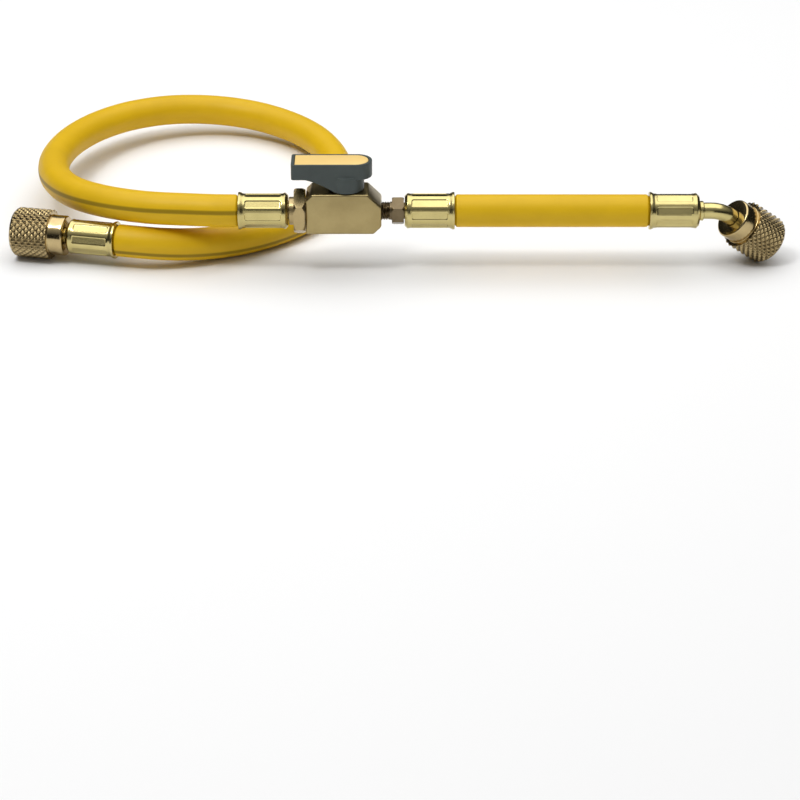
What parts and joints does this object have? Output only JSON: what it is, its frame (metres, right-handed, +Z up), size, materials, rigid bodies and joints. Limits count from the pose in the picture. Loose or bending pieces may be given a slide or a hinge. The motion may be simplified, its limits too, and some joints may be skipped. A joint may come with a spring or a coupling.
{
  "type": "refrigerant charging hose",
  "caption": "Rubber charging hose laid in a loop, with knurled swivel nuts, crimped ferrules, a short second length and a lever ball valve.",
  "frame": {"origin": "on the floor, under the middle of the box round the fittings, hoses apart", "axes": "+X along the valve's flow axis towards the angled end, +Y back over the loop of hose, +Z up"},
  "size_m": [0.3016, 0.157, 0.0445],
  "materials": {
    "polished_brass": "polished brass, crimped and turned",
    "nut_brass": "turned brass, diamond knurled on the nuts",
    "satin_brass": "satin brass with a dull olive tint",
    "yellow_rubber": "smooth yellow hose rubber with a slight sheen",
    "dark_plastic": "dark grey-green moulded plastic",
    "pale_plastic": "pale yellow smooth plastic",
    "seat_plastic": "white sealing plastic",
    "black_rubber": "black sealing rubber"
  },
  "bodies": {
    "hose": {"straight_nipple": "polished_brass", "straight_gasket": "black_rubber", "ferrule_straight_end": "polished_brass", "loop_hose": "yellow_rubber", "ferrule_valve_inlet": "polished_brass", "valve_adapter": "nut_brass", "valve_body": "satin_brass", "seat_inlet": "seat_plastic", "seat_outlet": "seat_plastic", "threaded_nipple": "nut_brass", "ferrule_valve_outlet": "polished_brass", "short_hose": "yellow_rubber", "ferrule_angled_end": "polished_brass", "bent_tube": "polished_brass", "angled_gasket": "black_rubber"},
    "straight_nut": {"straight_nut": "nut_brass"},
    "angled_nut": {"angled_nut": "nut_brass"},
    "lever": {"lever": "dark_plastic", "lever_cap": "pale_plastic", "valve_stem": "polished_brass", "valve_ball": "polished_brass"}
  },
  "joints": [
    {"name": "straight_nut_spin", "type": "hinge", "parent": "hose", "child": "straight_nut", "pos_m": [-0.12846, 0.00142, 0.00975], "axis": [-0.9781, 0.2079, 0], "continuous": true},
    {"name": "angled_nut_spin", "type": "hinge", "parent": "hose", "child": "angled_nut", "pos_m": [0.12951, -0.00381, 0.0196], "axis": [0.7431, 0.2996, -0.5983], "continuous": true},
    {"name": "valve_turn", "type": "hinge", "parent": "hose", "child": "lever", "pos_m": [-0.01941, -0.0057, 0.0329], "axis": [0, 0, 1], "range_deg": [-90, 0]}
  ]
}
